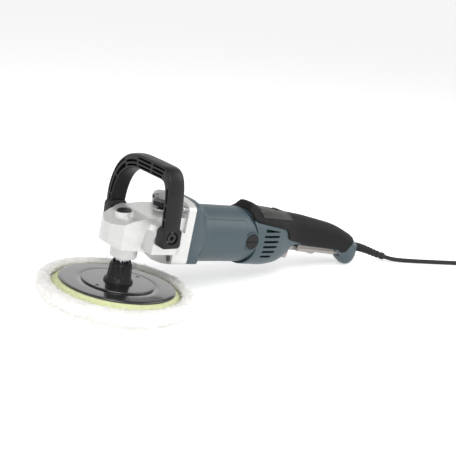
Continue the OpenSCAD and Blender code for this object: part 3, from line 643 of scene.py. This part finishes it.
def housing_reach(x, angle):
    s = math.sin(angle)
    body = 40.5
    low = smooth01((-s - 0.15) / 0.4)
    top_share = 1 - smooth01((x - 79) / 27)
    low_share = 1 - smooth01((x - STEP_X + 3.0) / 4.0)
    share = lerp(top_share, low_share, low)
    reach = lerp(body, flange_reach(angle), share)
    z = body * s
    across = min(smooth01((z + 29.6) / 1.2), smooth01((27.6 - z) / 1.2))
    along = min(smooth01((x - 98) / 3), smooth01((173 - x) / 1.4))
    return reach + 1.0 * across * along * (1 - share)


def arc_end(z, r=ARC_R):
    return ARC_X + math.sqrt(max(0.0, r * r - (z - ARC_Z) ** 2))


RINGS = 220
stations = ([72, 72.6, 74, 76, 79, 82, 85, 88, 89.6, 90.4, 91.2, 92, 92.8, 93.6, 94.4, 96, 98, 99.5, 101, 103,
             106, 110,
             120, 135, 150, 165, 171, 171.8, 172.6, 173.4, 176])
verts = []
for x in stations:
    trim = 0.6 if x == 72 else 0.0
    for i in range(RINGS):
        a = 2 * math.pi * i / RINGS
        r = housing_reach(x, a) - trim
        verts.append((x, r * math.cos(a), AXIS_Z + r * math.sin(a)))
for f, r in ((0.4, 40.5), (0.8, 40.5), (1.0, 40.2), (1.0, 39.7)):
    for i in range(RINGS):
        a = 2 * math.pi * i / RINGS
        z = AXIS_Z + 40.5 * math.sin(a)
        x = lerp(176, arc_end(z) - (0.35 if r == 40.2 else 0.0), f) if f < 1 or r == 40.2 else arc_end(z)
        verts.append((x, r * math.cos(a), AXIS_Z + r * math.sin(a)))
for x, r in ((178, 37.3), (72, 37.3)):
    for i in range(RINGS):
        a = 2 * math.pi * i / RINGS
        verts.append((x, r * math.cos(a), AXIS_Z + r * math.sin(a)))
rows = len(stations) + 6
housing = add_mesh("motor_housing_moulded", verts, grid_faces(rows, RINGS, True, True), TEAL, sharp=32)
for s in (-1, 1):
    lo, hi = sorted((s * 30, s * 46))
    hole = extrude(circle_points(BRUSH_X, AXIS_Z, 13.9, 64), lo, hi, along_y)
    boolean(housing, add_mesh("cutter", *hole, TEAL, smooth=False))
shade(housing, 32)
settle(housing, "tool", "housing_plastic", "motor_housing")
# section of the ring round a brush cap: radius, distance from the tool's middle
RIM = [(11.2, 33), (13.6, 33), (13.6, 40.3), (13.2, 41.0), (12.4, 41.2), (11.7, 41.0), (11.2, 40.2)]
for s, side in ((-1, "right"), (1, "left")):
    verts = []
    for i in range(96):
        a = 2 * math.pi * i / 96
        verts += [(BRUSH_X + r * math.cos(a), s * y, AXIS_Z + r * math.sin(a)) for r, y in RIM]
    rim = add_mesh("brush_ring_" + side, verts, grid_faces(96, len(RIM), True, True), TEAL, sharp=40)
    settle(rim, "tool", "housing_plastic")

# ---- rear body ----
# sections along the tool: x, height of the middle, half width, reach up, reach down
REAR = [
    (176, 70.5, 40.0, 40.5, 41.0), (200, 70.0, 40.0, 40.5, 42.0), (227, 69.0, 38.5, 41.0, 42.0),
    (250, 69.0, 34.5, 39.0, 39.5), (262, 69.5, 30.5, 37.0, 36.5), (272, 70.5, 27.5, 35.0, 31.5),
    (281, 73.0, 25.0, 32.0, 24.5), (291, 76.5, 23.5, 27.5, 20.0), (306, 77.5, 22.5, 25.0, 20.5),
    (330, 75.5, 21.8, 23.5, 21.0), (355, 72.5, 21.2, 22.5, 21.0), (380, 69.0, 20.8, 21.5, 20.5),
    (398, 65.0, 20.8, 20.0, 19.0), (410, 60.0, 21.0, 20.5, 22.0), (420, 55.0, 21.0, 21.5, 25.0),
    (429, 50.5, 19.6, 21.0, 24.3), (436, 50.5, 16.6, 17.5, 20.5), (440, 52.6, 13.6, 12.3, 14.5),
    (442.5, 54.8, 11.4, 9.9, 11.0)]
POWER = 0.8


def row_at(x):
    """Section values at x: a Hermite curve through the rows whose slopes never overshoot."""
    k = max(i for i in range(len(REAR) - 1) if REAR[i][0] <= x or i == 0)
    a, b = REAR[k], REAR[k + 1]
    before, after = REAR[max(k - 1, 0)], REAR[min(k + 2, len(REAR) - 1)]
    h = b[0] - a[0]
    f = (x - a[0]) / h
    out = [x]
    for j in range(1, 5):
        step = (b[j] - a[j]) / h
        slope_a = (b[j] - before[j]) / (b[0] - before[0]) if k > 0 else step
        slope_b = (after[j] - a[j]) / (after[0] - a[0]) if k + 2 < len(REAR) else step
        limit = 2.2 * abs(step)
        slope_a = max(-limit, min(limit, slope_a))
        slope_b = max(-limit, min(limit, slope_b))
        h00, h10 = 2 * f ** 3 - 3 * f ** 2 + 1, f ** 3 - 2 * f ** 2 + f
        h01, h11 = -2 * f ** 3 + 3 * f ** 2, f ** 3 - f ** 2
        out.append(h00 * a[j] + h10 * h * slope_a + h01 * b[j] + h11 * h * slope_b)
    return out


def section(row, t, d=0.0):
    """Point of the +Y half of a section: t runs from 90 degrees at the top to -90."""
    c, s = math.cos(math.radians(t)), math.sin(math.radians(t))
    y = (row[2] + d) * abs(c) ** POWER
    z = ((row[3] if s > 0 else row[4]) + d) * math.copysign(abs(s) ** POWER, s)
    return (row[0], max(0.0, y) if abs(t) < 89.99 else 0.0, row[1] + z)


def angle_of(row, z):
    """The angle at which the section stands at height z."""
    h = z - row[1]
    full = row[3] if h > 0 else row[4]
    return math.copysign(math.degrees(math.asin(min(1.0, abs(h) / full) ** (1 / POWER))), h)


def sheet_solid(name, grid, inner, mat, side, sharp=35):
    """Closed solid between two grids of points, mirrored for the other side."""
    rows, cols = len(grid), len(grid[0])
    flat = [p for row in grid for p in row] + [p for row in inner for p in row]
    off = rows * cols
    faces = grid_faces(rows, cols)
    faces += [tuple(off + i for i in face[::-1]) for face in grid_faces(rows, cols)]
    for j in range(cols - 1):
        faces.append((j, off + j, off + j + 1, j + 1))
        k = (rows - 1) * cols
        faces.append((k + j, k + j + 1, off + k + j + 1, off + k + j))
    for i in range(rows - 1):
        faces.append((i * cols, (i + 1) * cols, off + (i + 1) * cols, off + i * cols))
        k = cols - 1
        faces.append((i * cols + k, off + i * cols + k, off + (i + 1) * cols + k, (i + 1) * cols + k))
    verts = [(x, side * y, z) for x, y, z in flat]
    return add_mesh(name, verts, faces, mat, sharp=sharp)


def frange(a, b, step):
    n = max(1, round((b - a) / step))
    return [a + (b - a) * i / n for i in range(n + 1)]


shell_rows = [row_at(x) for x in frange(176, 430, 3) + frange(431, 442.5, 1.15)]
for side, name in ((1, "left"), (-1, "right")):
    grid = [[section(row, t) for t in turn_steps(90, -90, 48)] for row in shell_rows]
    inner = [[section(row, t, -2.6) for t in turn_steps(90, -90, 48)] for row in shell_rows]
    shell = sheet_solid("rear_shell_" + name + "_moulded", grid, inner, TEAL, side)
    cut = extrude(circle_points(ARC_X, ARC_Z, ARC_R + 0.35, 160), -60, 60, along_y)
    boolean(shell, add_mesh("cutter", *cut, TEAL, smooth=False))
    lo, hi = sorted((side * 20, side * 60))
    cut = extrude(circle_points(BRUSH_X, AXIS_Z, 13.95, 64), lo, hi, along_y)
    boolean(shell, add_mesh("cutter", *cut, TEAL, smooth=False))
    cut_verts, cut_faces = [], []
    for i in range(6):
        z = 86.0 - i * 7.7
        x0 = 207.0 + 0.4 * i
        x1 = (240, 240, 239, 237.5, 235, 231)[i]
        if i == 0:
            outline = [(x0 + 3, z - 1.6), (x1, z - 1.6), (x1 + 0.6, z - 0.4), (x0 + 6, z + 3.0), (x0 + 3, z + 2.6)]
        else:
            outline = (circle_points(x1 - 1.7, z, 1.7, 8, -90, 90, closed=False)
                       + circle_points(x0 + 1.7, z, 1.7, 8, 90, 270, closed=False))
        v, f = extrude(outline, lo, hi, along_y)
        cut_faces += [tuple(q + len(cut_verts) for q in face) for face in f]
        cut_verts += v
    boolean(shell, add_mesh("cutter", cut_verts, cut_faces, TEAL, smooth=False))
    for low, high in (((286, 0, 35), (409, 10.2, 66)), ((302, 0, 35), (389.5, 16.2, 63.5)),
                      ((279, 0, 35), (287, 5.2, 66)),
                      ((235, 0, 92), (269, 5, 122))):
        y0, y1 = sorted((side * low[1] - side * 1, side * high[1]))
        cut_box(shell, (low[0], y0, low[2]), (high[0], y1, high[2]))
    shade(shell, 32)
    settle(shell, "tool", "housing_plastic", "rear_shell_" + name)

# lower edge of the soft grip on the side of the body: x, z
GRIP_LINE = [(188, 101), (196, 97), (230, 92), (256, 87.5), (261, 82), (265, 73), (272, 70.5), (300, 65),
             (304, 62.5), (313, 61.5), (380, 56), (391, 55), (397, 51), (405, 52), (412, 59.5), (430, 76)]


def grip_edge(x):
    for (xa, za), (xb, zb) in zip(GRIP_LINE, GRIP_LINE[1:]):
        if xa <= x <= xb:
            return lerp(za, zb, (x - xa) / (xb - xa))
    return GRIP_LINE[-1][1]


def grip_rise(x, t):
    """Height of the rubber over the shell: a wedge behind the motor, then an even coat."""
    coat = 2.6
    wedge = 8.2 * smooth01((x - 185.5) / 5) * (1 - smooth01((x - 195) / 25))
    top = smooth01((t - 66) / 18)
    return coat + wedge * top


grip_rows = [row_at(x) for x in frange(186.6, 270, 2.4) + frange(272, 429, 2.6)]
for side, name in ((1, "left"), (-1, "right")):
    grid, inner = [], []
    for row in grip_rows:
        x = row[0]
        low = max(grip_edge(x), row[1] - row[4] + 1.2)
        last = max(-76.0, angle_of(row, low))
        front = smooth01((x - 186.2) / 1.6) * smooth01((430.2 - x) / 2.2)
        outer_pts, inner_pts = [], []
        for i in range(41):
            t = lerp(90, last, i / 40)
            edge = (90 - last) * (1 - i / 40) * 0.6
            fade = math.sqrt(max(0.0, 1 - (1 - min(1.0, edge / 2.2)) ** 2))
            rise = 0.25 + (grip_rise(x, t) - 0.25) * (0.12 + 0.88 * fade) * (0.15 + 0.85 * front)
            outer_pts.append(section(row, t, rise))
            inner_pts.append(section(row, t, 0.12))
        grid.append(outer_pts)
        inner.append(inner_pts)
    grip = sheet_solid("soft_grip_" + name + "_moulded", grid, inner, RUBBER, side, sharp=40)
    lo, hi = sorted((-side * 1, side * 5.4))
    cut = extrude(circle_points(ARC_X, ARC_Z, ARC_R + 0.5, 160), -60, 60, along_y)
    boolean(grip, add_mesh("cutter", *cut, RUBBER, smooth=False))
    cut_box(grip, (234.5, lo, 92), (269.5, hi, 125))
    shade(grip, 40)
    settle(grip, "tool", "grip_rubber", "soft_grip_" + name)

# side walls of the paddle, which run up inside the grip: x, z
SKIRT = [(304, 53), (330, 52.5), (386, 49.5), (386, 56), (380, 57), (330, 60), (310, 61), (304, 59)]
for s, side in ((1, "left"), (-1, "right")):
    lo, hi = sorted((s * 12.4, s * 14.0))
    skirt = add_mesh("paddle_wall_" + side, *extrude(SKIRT, lo, hi, along_y), PADDLE, smooth=False)
    settle(skirt, "trigger", "paddle_plastic")

# ---- small radii on the pieces kept as they are ----
for width, names in ((1.6, ["gear_housing"]),
                     (0.9, ["gear_cover", "paddle_trigger", "lock_button", "plug_body"]),
                     (0.5, ["brush_caps", "lock_off_lever", "gear_case_plug", "handle_bolts", "speed_dial",
                            "cord_tie"])):
    for name in names:
        bevel(NODES[name], width, 3, 28)

# ---- stage ----
FLOOR = material("floor", (0.93, 0.93, 0.93), 0.9, 0.0, 0.004, 3, 0.0)
FLOOR.node_tree.nodes["Principled BSDF"].inputs["Emission Color"].default_value = (1, 1, 1, 1)
FLOOR.node_tree.nodes["Principled BSDF"].inputs["Emission Strength"].default_value = 0.3
floor = add_mesh("floor", [(-40, -40, 0), (40, -40, 0), (40, 40, 0), (-40, 40, 0)], [(0, 1, 2, 3)],
                 FLOOR, Matrix.Identity(4), False)
world = bpy.data.worlds.new("world")
bpy.context.scene.world = world
world.use_nodes = True
sky = world.node_tree
sky_coord = sky.nodes.new("ShaderNodeTexCoord")
sky_split = sky.nodes.new("ShaderNodeSeparateXYZ")
sky_ramp = sky.nodes.new("ShaderNodeValToRGB")
link(sky, sky_coord.outputs["Generated"], sky_split.inputs["Vector"])
link(sky, sky_split.outputs["Z"], sky_ramp.inputs["Fac"])
link(sky, sky_ramp.outputs["Color"], sky.nodes["Background"].inputs["Color"])
sky_ramp.color_ramp.elements[0].position = 0.25
sky_ramp.color_ramp.elements[0].color = (1, 1, 1, 1)
sky_ramp.color_ramp.elements[1].position = 0.95
sky_ramp.color_ramp.elements[1].color = (0.22, 0.22, 0.22, 1)
sky.nodes["Background"].inputs["Strength"].default_value = 1.2


def area_light(name, at, target, size, power):
    data = bpy.data.lights.new(name, "AREA")
    data.shape = "RECTANGLE"
    data.size, data.size_y = size
    data.energy = power
    obj = bpy.data.objects.new(name, data)
    obj.location = at
    obj.rotation_euler = (Vector(target) - Vector(at)).to_track_quat("-Z", "Y").to_euler()
    bpy.context.scene.collection.objects.link(obj)
    return obj


area_light("key", (-0.9, -1.3, 1.6), (0, 0, 0.05), (1.2, 1.0), 30)
area_light("fill", (1.4, -0.7, 1.2), (0, 0, 0.05), (1.0, 1.0), 12)
scene = bpy.context.scene
scene.view_settings.view_transform = "Standard"
scene.view_settings.exposure = 0.0
